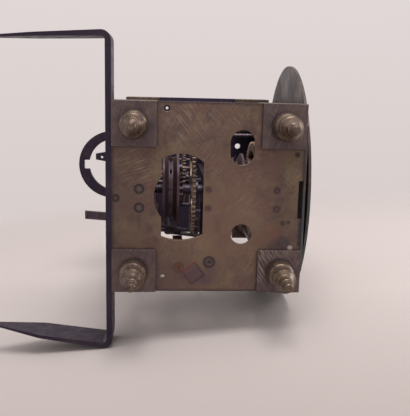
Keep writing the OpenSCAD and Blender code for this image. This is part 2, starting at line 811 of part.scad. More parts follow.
module second_arbor() {
    color(steel) {
        arbor(0, z_second, arbor_r, going_front, going_back);
        translate([0, 0, z_second]) pinion(second_leaves, great_m, -90, great_y - 2, great_y + wheel_t + 3);
        rod_y(0, z_second, 4, second_y - 3, second_y);
    }
}

// The escape wheel's saw teeth.
module escape_wheel() {
    root = escape_r - 4.5;
    color(pale_brass) slab_y(escape_y, escape_y + 2) translate([0, z_escape]) difference() {
        polygon([for (i = [0 : escape_teeth - 1]) let (a = 360 * i / escape_teeth)
            each [polar(root, a), polar(escape_r, a + 5), polar(escape_r, a + 6), polar(root, a + 8)]]);
        difference() {
            circle(r = root - 3, $fn = 96);
            circle(r = 6);
            for (i = [0 : 3]) rotate(90 * i) translate([0, -1.5]) square([root, 3]);
        }
        circle(r = arbor_r);
    }
}

module escape_arbor() {
    color(steel) {
        arbor(0, z_escape, arbor_r, going_front, going_back);
        translate([0, 0, z_escape]) pinion(escape_leaves, great_m, -90, second_y - 3, second_y + wheel_t + 3);
        rod_y(0, z_escape, 4, escape_y + 2, escape_y + 5);
    }
}

anchor_gap = 2.4;
pallet_span = 46;

// The anchor, drawn with its arbor at the origin and the escape wheel straight below it.
module anchor_2d() {
    drop = norm([anchor_x, z_anchor - z_escape]);
    reach = escape_r + anchor_gap;
    tip_x = reach * sin(pallet_span);
    tip_z = reach * cos(pallet_span) - drop;
    side = [[6, -5], [tip_x - 9, tip_z + 13], [tip_x - 2, tip_z + 6.5], [tip_x, tip_z], [tip_x + 3, tip_z + 2.6],
        [tip_x + 2, tip_z + 9], [tip_x - 6, tip_z + 17.5], [6, 3.5]];
    polygon(concat(side, [for (i = [len(side) - 1 : -1 : 0]) [-side[i][0], side[i][1]]]));
}

module anchor() {
    lean = atan2(anchor_x, z_anchor - z_escape);
    color(steel) slab_y(escape_y - 1.5, escape_y + 3.5) translate([-anchor_x, z_anchor]) difference() {
        rotate(lean) anchor_2d();
        circle(r = arbor_r);
    }
}

module anchor_arbor() {
    color(steel) {
        rod_y(-anchor_x, z_anchor, arbor_r, going_front + end_gap, leg_y - end_gap);
        rod_y(-anchor_x, z_anchor, pivot_r, going_front - bar_t + 0.4, leg_y + 2.6);
        rod_y(-anchor_x, z_anchor, 4.5, escape_y + 3.5, escape_y + 6.5);
    }
}

// How far the crutch's foot veers towards +X at its root
crutch_veer = 1.9;

// The crutch: a collet, a leaning rod and a flat foot that reaches back to the pendulum rod.
module crutch() {
    foot_x = crutch_len * sin(crutch_lean) - anchor_x;
    foot_z = z_anchor - crutch_len * cos(crutch_lean);
    half = crutch_foot_w / 2;
    foot_end = crutch_y + cock_out - 6.7;
    color("#5b504a") difference() {
        union() {
            slab_y(crutch_y, crutch_y + 3) translate([-anchor_x, z_anchor]) {
                circle(r = 5);
                rotate(crutch_lean) translate([-1.7, -crutch_len]) square([3.4, crutch_len]);
            }
            translate([foot_x, 0, foot_z - 2]) linear_extrude(4) polygon([
                [crutch_veer - half, crutch_y], [crutch_veer + half, crutch_y], [half, foot_end],
                [-half, foot_end]
            ]);
        }
        rod_y(-anchor_x, z_anchor, arbor_r, crutch_y - 1, crutch_y + 4);
    }
}

click_seat = 22;
click_y = strike_pulley_y - 3.2;
ratchet_r = 14;
pin_ring = pitch_r(strike_teeth, great_m) - wheel_deep * great_m - 2;
hammer_pin_r = 1.3;

module strike_great_wheel() {
    color(pale_brass) {
        slab_y(strike_y, strike_y + wheel_t) translate([0, z_strike]) difference() {
            wheel_2d(strike_teeth, great_m, 90, great_arbor_r, 11, 4.5);
            for (i = [0 : hammer_pin_count - 1]) translate(polar(pin_ring, 360 * i / hammer_pin_count + 22.5))
                circle(r = hammer_pin_r, $fn = 24);
        }
        at_xz(0, z_strike) rod_y(polar(click_seat, 135)[0], polar(click_seat, 135)[1], 1.2,
            strike_y + 1, click_y + 3.2);
    }
}

module strike_great_arbor() {
    color(steel) {
        rod_y(0, z_strike, great_arbor_r, strike_front + end_gap, strike_back - end_gap);
        rod_y(0, z_strike, great_pivot_r, strike_front - bar_t + 0.4, back_face + 1);
        translate([0, 0, z_strike]) pinion(count_leaves, count_m, 90, back_face + 0.5, count_y + wheel_t - 0.4);
        rod_y(0, z_strike, 8, strike_y - 3, strike_y);
    }
}

module hammer_pins() {
    color(steel) for (i = [0 : hammer_pin_count - 1]) {
        p = polar(pin_ring, 360 * i / hammer_pin_count + 22.5);
        rod_y(p[0], z_strike + p[1], hammer_pin_r, strike_y - 4, strike_y + wheel_t, $fn = 24);
    }
}

// The striking pulley turns on the great arbor and carries the ratchet wheel.
module strike_pulley() {
    color(dark_brass) at_xz(0, z_strike) {
        pulley(strike_pulley_y, great_arbor_r + run_gap);
        slab_y(click_y, strike_pulley_y + 0.5) difference() {
            polygon([for (i = [0 : 17]) each [polar(ratchet_r, 20 * i), polar(ratchet_r - 2.6, 20 * i + 3)]]);
            circle(r = great_arbor_r + run_gap);
        }
    }
}

module click() {
    seat = polar(click_seat, 135);
    tip = polar(ratchet_r + 0.5, 108);
    color(steel) slab_y(click_y, click_y + 2.6) translate([0, z_strike]) difference() {
        union() {
            translate(seat) circle(r = 3);
            polygon([seat + [0, -2.2], tip, tip + [0.6, 2.2], seat + [0, 2.6]]);
        }
        translate(seat) circle(r = 1.2 + run_gap);
    }
}

// A post on the great wheel with a leaf that lies over the click.
module click_spring() {
    post = polar(click_seat, 45);
    color(steel) at_xz(0, z_strike) {
        rod_y(post[0], post[1], 1.8, strike_y + wheel_t, click_y + 2.6);
        slab_y(click_y, click_y + 2.6)
            polygon([post + [0, 0], post + [0, 1.8], post + [-12, 6], [-9, post[1] + 4.4], [-9, post[1] + 3.8],
                post + [-12, 5.2]]);
    }
}

module hoop_wheel() {
    color(pale_brass) {
        slab_y(hoop_y, hoop_y + wheel_t) translate([0, z_hoop])
            wheel_2d(hoop_teeth, upper_m, 90, arbor_r, 7, 5.5);
        slab_y(hoop_y + wheel_t - 0.5, hoop_y + wheel_t + 4) translate([0, z_hoop]) difference() {
            circle(r = 23, $fn = 96);
            circle(r = 21.4, $fn = 96);
            polygon([[0, 0], polar(30, 120), polar(30, 150)]);
        }
    }
}

module hoop_arbor() {
    color(steel) {
        arbor(0, z_hoop, arbor_r, strike_front, strike_back);
        translate([0, 0, z_hoop]) pinion(hoop_leaves, great_m, -90, strike_y - 2, strike_y + wheel_t + 3);
        rod_y(0, z_hoop, 4, hoop_y - 3, hoop_y);
    }
}

module warning_wheel() {
    color(pale_brass) {
        slab_y(warning_y, warning_y + wheel_t) translate([0, z_warning])
            wheel_2d(warning_teeth, upper_m, 90, arbor_r, 6, 4.5);
        rod_y(0, z_warning - 19.5, 0.8, warning_y + 1, warning_y + wheel_t + 3.5, $fn = 16);
    }
}

module warning_arbor() {
    color(steel) {
        arbor(0, z_warning, arbor_r, strike_front, strike_back);
        translate([0, 0, z_warning]) pinion(warning_leaves, upper_m, -90, hoop_y - 3, hoop_y + wheel_t + 1);
        rod_y(0, z_warning, 4, warning_y - 3, warning_y);
    }
}

module fly() {
    color(brass) at_xz(0, z_fly) difference() {
        union() {
            translate([-fly_r, fly_y, -0.5]) cube([2 * fly_r, fly_w, 1]);
            rod_y(0, 0, 3, fly_y, fly_y + fly_w);
        }
        rod_y(0, 0, arbor_r - 0.2, fly_y - 1, fly_y + fly_w + 1);
    }
}

module fly_arbor() {
    color(steel) {
        arbor(0, z_fly, arbor_r - 0.2, strike_front, strike_back);
        translate([0, 0, z_fly]) pinion(fly_leaves, upper_m, -90, warning_y - 3, warning_y + wheel_t + 3);
    }
}

// Blows struck from one to twelve, and the rim angle where the train locks after each hour.
blows = 78;
function locked_at(hour) = 360 / blows * hour * (hour + 1) / 2;

module count_wheel() {
    disc_r = pitch_r(count_teeth, count_m) + 4.8;
    color(pale_brass) {
        slab_y(count_y, count_y + wheel_t) translate([0, z_count])
            wheel_2d(count_teeth, count_m, -90, 2, 7, 7);
        slab_y(count_y + wheel_t - 0.2, count_y + wheel_t + 1.8) translate([0, z_count]) difference() {
            circle(r = disc_r, $fn = 120);
            circle(r = disc_r - 11, $fn = 96);
            for (h = [1 : 12]) rotate(locked_at(h)) translate([disc_r - 3, -1.1]) square([4, 2.2]);
        }
    }
}

hammer_shaft_r = 2;

module hammer() {
    head_z = z_top + hammer_up;
    wheel_to = [lever_x, z_hammer - z_strike];
    out = (pin_ring + hammer_pin_r + 0.6) / norm(wheel_to);
    tail = [wheel_to[0] * out, z_strike + wheel_to[1] * out];
    color(iron) {
        arbor(lever_x, z_hammer, arbor_r, strike_front, strike_back);
        rod_y(lever_x, z_hammer, 4, hammer_y - 4, hammer_y + 4);
        rod_y(lever_x, z_hammer, 3.6, strike_front + 1, strike_front + 4.6);
        slab_y(strike_front + 1.4, strike_front + 4.2)
            polygon([tail, tail + [0.6, 2.4], [lever_x, z_hammer + 3], [lever_x, z_hammer - 3], tail + [1.2, -1.6]]);
        translate([lever_x, hammer_y, z_hammer]) cylinder(r = hammer_shaft_r, h = head_z - z_hammer);
        translate([lever_x - head_w, hammer_y - head_w / 2, head_z - head_w / 2]) cube([2 * head_w, head_w, head_w]);
        translate([lever_x - 1.5, spring_y - 2.5, z_hammer - 12]) cube([3, 5, 12]);
        rod_y(lever_x, z_hammer, 3.2, spring_y - 3, spring_y + 3);
    }
}

// The hammer spring's leaf stands on the bottom plate; its screw comes from below.
module hammer_spring() {
    leaf_t = 1;
    foot_t = 2;
    low_x = lever_x + 7;
    color(steel) difference() {
        slab_y(spring_y - 4, spring_y + 4) polygon([
            [spring_x + 6, z_floor], [spring_x + 6, z_floor + foot_t], [low_x + leaf_t, z_floor + foot_t],
            [lever_x + 3.5 + leaf_t, z_hammer - 6], [lever_x + 3.5, z_hammer - 6], [low_x, z_floor]
        ]);
        translate([spring_x, spring_y, z_floor - 1]) cylinder(r = fix_r + fit_gap, h = 5);
    }
    color("#7a4a3a") difference() {
        union() {
            translate([spring_x, spring_y, z_base - 0.8]) cylinder(r = 3.6, h = 0.8);
            translate([spring_x, spring_y, z_base - 0.3]) cylinder(r = fix_r, h = plate_t + foot_t + 0.3);
        }
        translate([spring_x - 5, spring_y - 0.4, z_base - 1]) cube([10, 0.8, 0.6]);
    }
}

// A post riveted in the bottom plate, with a finger that stops the hammer's shaft.
module hammer_stop() {
    up = z_hammer + 12;
    finger_r = 1.7;
    to = [lever_x + hammer_shaft_r + finger_r + 0.6, hammer_y + 5];
    run = to - [stop_x, stop_y];
    color(steel) {
        translate([stop_x, stop_y, z_base]) cylinder(r = fix_r, h = plate_t + 0.5);
        translate([stop_x, stop_y, z_floor]) cylinder(r = 2.6, h = 2);
        translate([stop_x, stop_y, z_floor]) cylinder(r = 2, h = up - z_floor);
        translate([stop_x, stop_y, up]) rotate([0, 0, atan2(run[1], run[0])]) rotate([0, 90, 0])
            cylinder(r = finger_r, h = norm(run));
        translate([stop_x, stop_y, up]) sphere(r = 2);
    }
}

// A flat lever arm from an arbor to a tip, seen from the front.
module arm_2d(from, to, wide, narrow) {
    run = to - from;
    side = [-run[1], run[0]] / norm(run);
    polygon([from + side * wide, to + side * narrow, to - side * narrow, from - side * wide]);
    translate(from) circle(r = wide + 1.2);
}

module lifting_lever() {
    at = [-lever_x, z_lift];
    warn = [0, z_warning] + polar(22.5, 188);
    color(iron) {
        rod_y(at[0], at[1], arbor_r, going_front + end_gap, strike_back - end_gap);
        rod_y(at[0], at[1], pivot_r + 0.4, star_y, going_front + 1);
        rod_y(at[0], at[1], pivot_r, strike_back - 1, strike_back + bar_t - 0.4);
        slab_y(star_y - 0.2, star_y + 1.8) arm_2d(at, [-star_r - 1.2, z_hour + 1], 3, 1.2);
        slab_y(warning_y + wheel_t + 0.6, warning_y + wheel_t + 3.6) arm_2d(at, warn, 3, 1.2);
    }
}

module locking_detent() {
    at = [-lever_x, z_detent];
    disc_r = pitch_r(count_teeth, count_m) + 4.8;
    to_hoop = at - [0, z_hoop];
    to_count = at - [0, z_count];
    lock = [0, z_hoop] + to_hoop * (24.4 / norm(to_hoop));
    feel = [0, z_count] + to_count * ((disc_r + 1) / norm(to_count));
    color(iron) {
        arbor(at[0], at[1], arbor_r, strike_front, strike_back);
        rod_y(at[0], at[1], pivot_r + 0.4, strike_back - 1, count_y + wheel_t + 1.8);
        slab_y(hoop_y + wheel_t + 0.8, hoop_y + wheel_t + 3.6) arm_2d(at, lock, 3, 1.2);
        slab_y(count_y + wheel_t, count_y + wheel_t + 1.6) arm_2d(at, feel, 3, 1);
    }
}

bottom_plate();
top_plate();
pillar(-1, -1);  // pillar_front_left
pillar(1, -1);  // pillar_front_right
pillar(-1, 1);  // pillar_back_left
pillar(1, 1);  // pillar_back_right
foot(-1, -1);  // foot_front_left
foot(1, -1);  // foot_front_right
foot(-1, 1);  // foot_back_left
foot(1, 1);  // foot_back_right
finial(-1, -1);  // finial_front_left
finial(1, -1);  // finial_front_right
finial(-1, 1);  // finial_back_left
finial(1, 1);  // finial_back_right
front_bar();
middle_bar();
back_bar();
bar_wedges();
wall_bracket();
bracket_screws();
hanging_hoop();
hoop_rivets();
suspension_cock();
cock_screws();
dial_plate();
dial_lugs();
chapter_ring();
wheel_studs();
hour_wheel();
star_wheel();
hour_hand();
hand_pin();
going_great_wheel();
going_great_arbor();
going_pulley();
second_wheel();
second_arbor();
escape_wheel();
escape_arbor();
anchor();
anchor_arbor();
crutch();
strike_great_wheel();
strike_great_arbor();
hammer_pins();
strike_pulley();
click();
click_spring();
hoop_wheel();
hoop_arbor();
warning_wheel();
warning_arbor();
fly();
fly_arbor();
count_wheel();
hammer();
hammer_spring();
hammer_stop();
lifting_lever();
locking_detent();
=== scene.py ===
"""Looks of a rope-driven clock movement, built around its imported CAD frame.

The part stands on its feet at z = 0, with the dial towards -Y. The photograph shows it lying
on its +X side, seen from under the feet, so the camera stands below and the stage at +X."""

import math

import bmesh
import bpy
from mathutils import Matrix, Vector


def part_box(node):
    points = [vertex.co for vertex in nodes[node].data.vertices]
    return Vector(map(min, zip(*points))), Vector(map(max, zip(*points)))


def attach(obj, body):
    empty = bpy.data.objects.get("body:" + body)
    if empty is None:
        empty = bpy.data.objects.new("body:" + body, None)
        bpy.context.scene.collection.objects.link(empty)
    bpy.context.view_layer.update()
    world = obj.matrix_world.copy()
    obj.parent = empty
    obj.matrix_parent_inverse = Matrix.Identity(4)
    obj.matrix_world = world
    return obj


MM = 0.001
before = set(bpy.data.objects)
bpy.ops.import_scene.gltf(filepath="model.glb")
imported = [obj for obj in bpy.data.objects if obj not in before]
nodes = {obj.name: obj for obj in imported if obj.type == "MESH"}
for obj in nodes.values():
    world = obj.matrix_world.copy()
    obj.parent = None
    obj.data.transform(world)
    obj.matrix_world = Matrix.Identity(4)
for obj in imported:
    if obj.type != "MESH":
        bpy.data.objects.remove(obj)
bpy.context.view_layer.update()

# Heights and places that the looks share with the CAD, in millimetres: the bottom plate's
# lower face and half width, the pads of the posts, the dial's centre and the ring's front
PLATE_FACE = 45.0
PLATE_HALF = 71.0
PAD_THICK = 3.0
DIAL_CENTRE = 146.0
RING_FRONT = -76.8
# Places in the plan of the bottom plate: rivets of the three bars, the hammer spring's screw
# and the hammer stop
RIVETS_X = (-7, 7)
BACK_RIVETS_Y, MIDDLE_RIVETS_Y, FRONT_RIVETS_Y = 51.0, 0.0, -51.5
SPRING_SCREW = (52.2, 21.0, PLATE_FACE)
HAMMER_STOP = (48.2, -1.8, PLATE_FACE)
# The most scuffed corner of the front right foot's pad
SCUFFED_AT = (46.0, -44.0, 42.0)
# A spot has its full strength inside this share of its radius
SPOT_CORE = 0.55
# From a turned groove of the cast brass to the ridge beside it, coarser than a lathe leaves
# them so that they show
TURNED_STEP = 1.1


def linear(hex_colour):
    """An sRGB hex colour as linear RGBA."""
    channels = [int(hex_colour[i : i + 2], 16) / 255 for i in (1, 3, 5)]
    return (
        *[c / 12.92 if c <= 0.04045 else ((c + 0.055) / 1.055) ** 2.4 for c in channels],
        1.0,
    )


def add(tree, kind, inputs=None, **settings):
    """Adds one shader node. An input that is given a socket is linked, any other is set."""
    made = tree.nodes.new("ShaderNode" + kind)
    for key, value in settings.items():
        setattr(made, key, value)
    for key, value in (inputs or {}).items():
        if isinstance(value, bpy.types.NodeSocket):
            tree.links.new(value, made.inputs[key])
        else:
            made.inputs[key].default_value = value
    return made


def new_material(name):
    """A new material, its emptied node tree and its Object coordinates."""
    material = bpy.data.materials.new(name)
    material.use_nodes = True
    tree = material.node_tree
    tree.nodes.clear()
    coords = add(tree, "TexCoord").outputs["Object"]
    return material, tree, coords


def cloudy(tree, coords, size_mm, low, high, detail=4.0, seed=0.0):
    """A mask of soft patches about size_mm across: 0 below low, 1 above high."""
    shifted = add(tree, "Mapping", {"Vector": coords, "Location": (seed, seed * 0.7, -seed)})
    noise = add(
        tree,
        "TexNoise",
        {
            "Vector": shifted.outputs[0],
            "Scale": 1 / (size_mm * MM),
            "Detail": detail,
            "Roughness": 0.6,
        },
    )
    return add(
        tree,
        "MapRange",
        {"Value": noise.outputs["Fac"], "From Min": low, "From Max": high},
    ).outputs["Result"]


def hairlines(tree, coords, turn_deg, width_mm, length_mm, low, high, seed):
    """A mask of fine straight marks in the XY plane, as from a file or emery stick, wider
    than the real ones so that they show. They change with every 2.5 mm of height."""
    turned = add(
        tree,
        "Mapping",
        {
            "Vector": coords,
            "Rotation": (0, 0, math.radians(turn_deg)),
            "Location": (seed, seed, 0),
            "Scale": (length_mm * MM, width_mm * MM, 2.5 * MM),
        },
        vector_type="TEXTURE",
    )
    noise = add(
        tree,
        "TexNoise",
        {"Vector": turned.outputs[0], "Scale": 1.0, "Detail": 2.0, "Roughness": 0.5},
    )
    return add(
        tree,
        "MapRange",
        {"Value": noise.outputs["Fac"], "From Min": low, "From Max": high},
    ).outputs["Result"]


def worn_edges(tree, radius_mm):
    """The normal of edges rounded by wear, and a mask that is 1 along them, where that
    normal leans away from the flat one."""
    rounded = add(tree, "Bevel", {"Radius": radius_mm * MM}, samples=4).outputs[0]
    flat = add(tree, "NewGeometry").outputs["Normal"]
    alike = add(tree, "VectorMath", {0: rounded, 1: flat}, operation="DOT_PRODUCT")
    mask = add(
        tree,
        "MapRange",
        {"Value": alike.outputs["Value"], "From Min": 0.995, "From Max": 0.86},
    )
    return rounded, mask.outputs["Result"]


def layered(tree, colour, layers):
    """Lays colours over each other, each (mask, hex colour, strength)."""
    for mask, over, strength in layers:
        share = add(tree, "Math", {0: mask, 1: strength}, operation="MULTIPLY")
        colour = add(
            tree,
            "MixRGB",
            {"Fac": share.outputs[0], "Color1": colour, "Color2": linear(over)},
        ).outputs[0]
    return colour


def round_patch(tree, coords, place, reach_mm, full_mm):
    """A mask that is 1 within full_mm of a place in millimetres, and 0 beyond reach_mm."""
    away = add(
        tree, "VectorMath", {0: coords, 1: [c * MM for c in place]}, operation="DISTANCE"
    ).outputs["Value"]
    return add(
        tree, "MapRange", {"Value": away, "From Min": reach_mm * MM, "From Max": full_mm * MM}
    ).outputs["Result"]


def finish_metal(tree, colour, metallic, roughness, height, depth_mm, rounded=None):
    """The shader and output that every metal here ends in, with a bump of its height."""
    relief = {"Height": height, "Strength": 1.0, "Distance": depth_mm * MM}
    if rounded is not None:
        relief["Normal"] = rounded
    inputs = {
        "Base Color": colour,
        "Metallic": metallic,
        "Roughness": roughness,
        "Normal": add(tree, "Bump", relief).outputs[0],
    }
    shader = add(tree, "BsdfPrincipled", inputs)
    add(tree, "OutputMaterial", {"Surface": shader.outputs[0]})


def shaded_corners(tree, colour, hex_colour, reach_mm, strength):
    """Painted shade in the corners where two surfaces meet, which also stands for the dark wax
    and dust that gather there.
    """
    near = add(tree, "AmbientOcclusion", {"Distance": reach_mm * MM}, samples=6)
    shade_share = add(
        tree,
        "MapRange",
        {
            "Value": near.outputs["AO"],
            "From Min": 0.35,
            "From Max": 0.85,
            "To Min": strength,
            "To Max": 0.0,
        },
    )
    return add(
        tree,
        "MixRGB",
        {"Fac": shade_share.outputs[0], "Color1": colour, "Color2": linear(hex_colour)},
    ).outputs[0]


def spots(tree, coords, colour, marks):
    """Round stains or rings, each (x, y, z, radius, ring width or 0, colour, strength) in mm."""
    for x, y, z, radius, width, hex_colour, strength in marks:
        away = add(
            tree,
            "VectorMath",
            {0: coords, 1: (x * MM, y * MM, z * MM)},
            operation="DISTANCE",
        ).outputs["Value"]
        if width:
            off = add(tree, "Math", {0: away, 1: radius * MM}, operation="SUBTRACT")
            away = add(tree, "Math", {0: off.outputs[0]}, operation="ABSOLUTE").outputs[0]
            reach = width * MM
        else:
            reach = radius * MM
        share = add(
            tree,
            "MapRange",
            {
                "Value": away,
                "From Min": reach * SPOT_CORE,
                "From Max": reach,
                "To Min": strength,
                "To Max": 0.0,
            },
        )
        colour = add(
            tree,
            "MixRGB",
            {"Fac": share.outputs[0], "Color1": colour, "Color2": linear(hex_colour)},
        ).outputs[0]
    return colour


def lozenge_patch(tree, coords, colour, centre, turn_deg, half_mm):
    """An old square repair, soldered in: a stained field in a dark joint, red on one side."""
    x, y, z = centre
    moved = add(
        tree,
        "VectorMath",
        {0: coords, 1: (x * MM, y * MM, z * MM)},
        operation="SUBTRACT",
    ).outputs[0]
    turned = add(
        tree, "Mapping", {"Vector": moved, "Rotation": (0, 0, math.radians(turn_deg))}
    )
    split = add(tree, "SeparateXYZ", {0: turned.outputs[0]})
    sides = [add(tree, "Math", {0: split.outputs[i]}, operation="ABSOLUTE") for i in (0, 1)]
    reach = add(
        tree, "Math", {0: sides[0].outputs[0], 1: sides[1].outputs[0]}, operation="MAXIMUM"
    ).outputs[0]
    field = add(
        tree,
        "MapRange",
        {"Value": reach, "From Min": (half_mm + 0.3) * MM, "From Max": (half_mm - 0.5) * MM},
    ).outputs[0]
    off = add(tree, "Math", {0: reach, 1: half_mm * MM}, operation="SUBTRACT").outputs[0]
    near = add(tree, "Math", {0: off}, operation="ABSOLUTE").outputs[0]
    joint = add(
        tree, "MapRange", {"Value": near, "From Min": 1.0 * MM, "From Max": 0.35 * MM}
    ).outputs[0]
    one_side = add(
        tree,
        "MapRange",
        {"Value": split.outputs[0], "From Min": -0.6 * half_mm * MM, "From Max": -half_mm * MM},
    ).outputs[0]
    red = add(tree, "Math", {0: joint, 1: one_side}, operation="MULTIPLY").outputs[0]
    stain = add(
        tree, "Math", {0: field, 1: cloudy(tree, coords, 6, 0.42, 0.62)}, operation="MULTIPLY"
    ).outputs[0]
    return layered(
        tree,
        colour,
        ((stain, "#4b3648", 0.6), (joint, "#33262b", 0.6), (red, "#6f4038", 0.8)),
    )


def rolled_brass(
    name,
    base,
    olive,
    red,
    marks=(),
    rubs=(),
    metallic=0.35,
    worn=0.34,
    half=None,
    patch=None,
    corner_shade=0.8,
    shaded_below=None,
    front=None,
):
    """Hammered and scraped sheet brass, brown with age: it shows cloudy olive and reddish
    tarnish, a long grain, fine crossing scratches and arrises rubbed pale, and hardly shines.
    Rubs are places with paler strokes, each (x, y, z, radius in mm, direction in degrees).
    A plate of a given half width also has the dark wax line along its border, and below the
    height shaded_below it is painted nearly black, as painted shade. Faces towards -Y have the
    colour front, as on a dial that is kept cleaner than its back."""
    material, tree, coords = new_material(name)
    scored = cloudy(tree, coords, 30, 0.47, 0.66, seed=4.1)
    crossing = []
    for turn_deg, width_mm, length_mm, seed in ((31, 0.9, 21, 0.2), (-47, 0.8, 13, 0.9)):
        lines = hairlines(tree, coords, turn_deg, width_mm, length_mm, 0.53, 0.64, seed=seed)
        crossing.append(add(tree, "Math", {0: lines, 1: scored}, operation="MULTIPLY").outputs[0])
    grain = hairlines(tree, coords, 3, 1.4, 40, 0.44, 0.70, seed=2.6)
    clouds = cloudy(tree, coords, 38, 0.42, 0.64, seed=0.3)
    rounded, rubbed = worn_edges(tree, 0.5)
    colour = layered(
        tree,
        linear(base),
        (
            (clouds, olive, 0.70),
            (cloudy(tree, coords, 30, 0.48, 0.68, seed=1.1), red, 0.62),
            (cloudy(tree, coords, 9, 0.50, 0.70, seed=2.2), "#43363a", 0.65),
            (cloudy(tree, coords, 14, 0.52, 0.70, seed=6.4), "#7b6a53", 0.55),
            (grain, "#4a3c38", 0.16),
            (crossing[0], "#94826e", worn),
            (crossing[1], "#8f7c69", worn),
            (hairlines(tree, coords, 74, 1.0, 30, 0.58, 0.70, seed=1.7), "#3d3030", 0.40),
        ),
    )
    for x, y, z, radius, turn_deg in rubs:
        near = round_patch(tree, coords, (x, y, z), reach_mm=radius, full_mm=radius * 0.4)
        strokes = hairlines(tree, coords, turn_deg, 1.0, 15, 0.56, 0.66, seed=radius * 0.1)
        share = add(tree, "Math", {0: near, 1: strokes}, operation="MULTIPLY").outputs[0]
        colour = layered(tree, colour, ((share, "#a39382", 0.36),))
    if front:
        facing = add(tree, "NewGeometry").outputs["Normal"]
        towards = add(tree, "SeparateXYZ", {0: facing}).outputs[1]
        ahead = add(
            tree, "MapRange", {"Value": towards, "From Min": -0.5, "From Max": -0.8}
        ).outputs[0]
        stained = add(tree, "Math", {0: ahead, 1: clouds}, operation="MULTIPLY").outputs[0]
        colour = layered(tree, colour, ((ahead, front, 0.70), (stained, "#66553f", 0.45)))
    colour = spots(tree, coords, colour, marks)
    if patch:
        colour = lozenge_patch(tree, coords, colour, *patch)
    # Painted shade in the corners where two surfaces meet, standing also for the wax and dust
    # there
    colour = shaded_corners(tree, colour, "#241b29", 3.0, corner_shade)
    colour = layered(tree, colour, ((rubbed, "#8d7b69", 0.65),))
    if half:
        split = add(tree, "SeparateXYZ", {0: coords})
        off = [add(tree, "Math", {0: split.outputs[i]}, operation="ABSOLUTE") for i in (0, 1)]
        far = add(tree, "Math", {0: off[0].outputs[0], 1: off[1].outputs[0]}, operation="MAXIMUM")
        rim = add(
            tree,
            "MapRange",
            {
                "Value": far.outputs[0],
                "From Min": (half - 2.4) * MM,
                "From Max": (half - 0.6) * MM,
            },
        )
        colour = layered(tree, colour, ((rim.outputs[0], "#2f2629", 0.7),))
    # Painted shade: the underside below this height is painted nearly black
    if shaded_below:
        height = add(tree, "SeparateXYZ", {0: coords}).outputs[2]
        underside_shade = add(
            tree, "Math", {0: height, 1: shaded_below * MM}, operation="LESS_THAN"
        ).outputs[0]
        colour = layered(tree, colour, ((underside_shade, "#2c2340", 0.88),))
    rough = add(tree, "MapRange", {"Value": clouds, "To Min": 0.40, "To Max": 0.58}).outputs[0]
    finish_metal(tree, colour, metallic, rough, crossing[0], 0.03, rounded)
    return material


def turned_brass(name, base, dark, bright, ringed, dullness, pad_from=0.0, pad_to=0.0):
    """Cast brass, turned on a lathe and handled for centuries: warm glints on the rings,
    brown wax between them, fine lines round the axis as deep as ringed says, from 0 to 1.
    Between the heights pad_from and pad_to, in millimetres, lies the square pad. It was filed
    flat, is as dull as the plate, and scuffed near SCUFFED_AT."""
    material, tree, coords = new_material(name)
    split = add(tree, "SeparateXYZ", {0: coords})
    wobble = cloudy(tree, coords, 6, 0.2, 0.8, seed=0.6)
    steps = add(
        tree, "Math", {0: split.outputs[2], 1: 1 / (TURNED_STEP * MM)}, operation="MULTIPLY"
    )
    ring = add(tree, "Math", {0: steps.outputs[0], 1: wobble}, operation="ADD")
    lines = add(tree, "Math", {0: ring.outputs[0], 1: 1.0}, operation="PINGPONG").outputs[0]
    tarnish = cloudy(tree, coords, 10, 0.42, 0.66, seed=0.1)
    rounded, rubbed = worn_edges(tree, 0.5)
    colour = layered(
        tree,
        linear(base),
        (
            (tarnish, dark, 0.80),
            (cloudy(tree, coords, 5, 0.55, 0.75, seed=1.4), bright, 0.5),
            (lines, dark, 0.55 * ringed),
            (cloudy(tree, coords, 2.5, 0.60, 0.72, detail=1.0, seed=2.7), "#2e2422", 0.5),
        ),
    )
    rough = add(
        tree, "MapRange", {"Value": tarnish, "To Min": dullness, "To Max": dullness + 0.18}
    ).outputs[0]
    metallic = 0.8
    if pad_to:
        low = add(
            tree,
            "Math",
            {0: split.outputs[2], 1: pad_from * MM},
            operation="GREATER_THAN",
        ).outputs[0]
        high = add(
            tree, "Math", {0: split.outputs[2], 1: pad_to * MM}, operation="LESS_THAN"
        ).outputs[0]
        pad = add(tree, "Math", {0: low, 1: high}, operation="MULTIPLY").outputs[0]
        near = round_patch(tree, coords, SCUFFED_AT, reach_mm=24, full_mm=9)
        strokes = hairlines(tree, coords, -35, 1.0, 12, 0.52, 0.62, seed=1.9)
        scuffs = add(tree, "Math", {0: near, 1: strokes}, operation="MULTIPLY").outputs[0]
        filed = layered(
            tree,
            linear("#524144"),
            (
                (cloudy(tree, coords, 14, 0.42, 0.66, seed=5.2), "#63524c", 0.8),
                (cloudy(tree, coords, 11, 0.50, 0.70, seed=7.3), "#3d3036", 0.6),
                (hairlines(tree, coords, 21, 0.9, 18, 0.54, 0.68, seed=3.1), "#8b7c70", 0.26),
                (hairlines(tree, coords, -62, 0.8, 14, 0.56, 0.70, seed=0.7), "#382c31", 0.50),
                (scuffs, "#a3968b", 0.55),
                (rubbed, "#8d7d6e", 0.45),
            ),
        )
        colour = add(tree, "MixRGB", {"Fac": pad, "Color1": colour, "Color2": filed}).outputs[0]
        rough = add(tree, "Mix", {"Factor": pad, 2: rough, 3: 0.55}).outputs[0]
        metallic = add(
            tree, "MapRange", {"Value": pad, "To Min": metallic, "To Max": 0.30}
        ).outputs[0]
    # Painted shade in the corners, as round the foot of each knob on its pad, standing also for
    # the wax and dust there
    colour = shaded_corners(tree, colour, "#231b1f", 4.0, 0.85)
    finish_metal(tree, colour, metallic, rough, lines, 0.07 * ringed, rounded)
    return material


